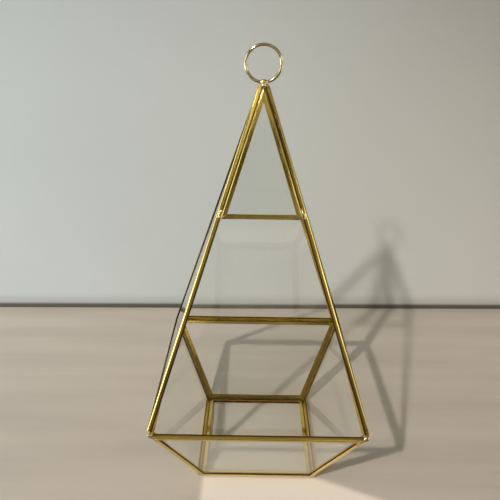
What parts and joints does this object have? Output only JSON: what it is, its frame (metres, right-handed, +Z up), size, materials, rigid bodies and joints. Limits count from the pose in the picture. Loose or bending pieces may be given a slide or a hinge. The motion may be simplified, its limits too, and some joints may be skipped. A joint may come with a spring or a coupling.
{
  "type": "glass terrarium",
  "caption": "Open-fronted geometric terrarium: a tall glass pyramid on a tapered glass tray, framed in soldered brass channel, with a wire ring on its tip.",
  "frame": {"origin": "middle of the base, on the surface that the terrarium stands on", "axes": "+Z up, the open front faces -Y, +X to the right seen from the front"},
  "size_m": [0.1516, 0.1516, 0.3112],
  "materials": {
    "brass_channel": "polished folded brass strip, slightly tarnished",
    "brass_wire": "polished round wire",
    "brass_solder": "brass-plated solder, uneven",
    "clear_glass": "clear flat glass"
  },
  "bodies": {
    "root": {"front_top_frame": "brass_channel", "front_lower_frame": "brass_channel", "right_upper_frame": "brass_channel", "right_lower_frame": "brass_channel", "back_upper_frame": "brass_channel", "back_lower_frame": "brass_channel", "left_upper_frame": "brass_channel", "left_lower_frame": "brass_channel", "base_frame": "brass_channel", "front_top_glass": "clear_glass", "front_lower_glass": "clear_glass", "right_upper_glass": "clear_glass", "right_lower_glass": "clear_glass", "back_upper_glass": "clear_glass", "back_lower_glass": "clear_glass", "left_upper_glass": "clear_glass", "left_lower_glass": "clear_glass", "base_glass": "clear_glass", "solder_tip": "brass_solder", "solder_crossbar_left": "brass_solder", "solder_crossbar_right": "brass_solder", "solder_belt_front_left": "brass_solder", "solder_belt_front_right": "brass_solder", "solder_belt_back_left": "brass_solder", "solder_belt_back_right": "brass_solder", "solder_base_front_left": "brass_solder", "solder_base_front_right": "brass_solder", "solder_base_back_left": "brass_solder", "solder_base_back_right": "brass_solder", "top_ring": "brass_wire"}
  },
  "joints": []
}
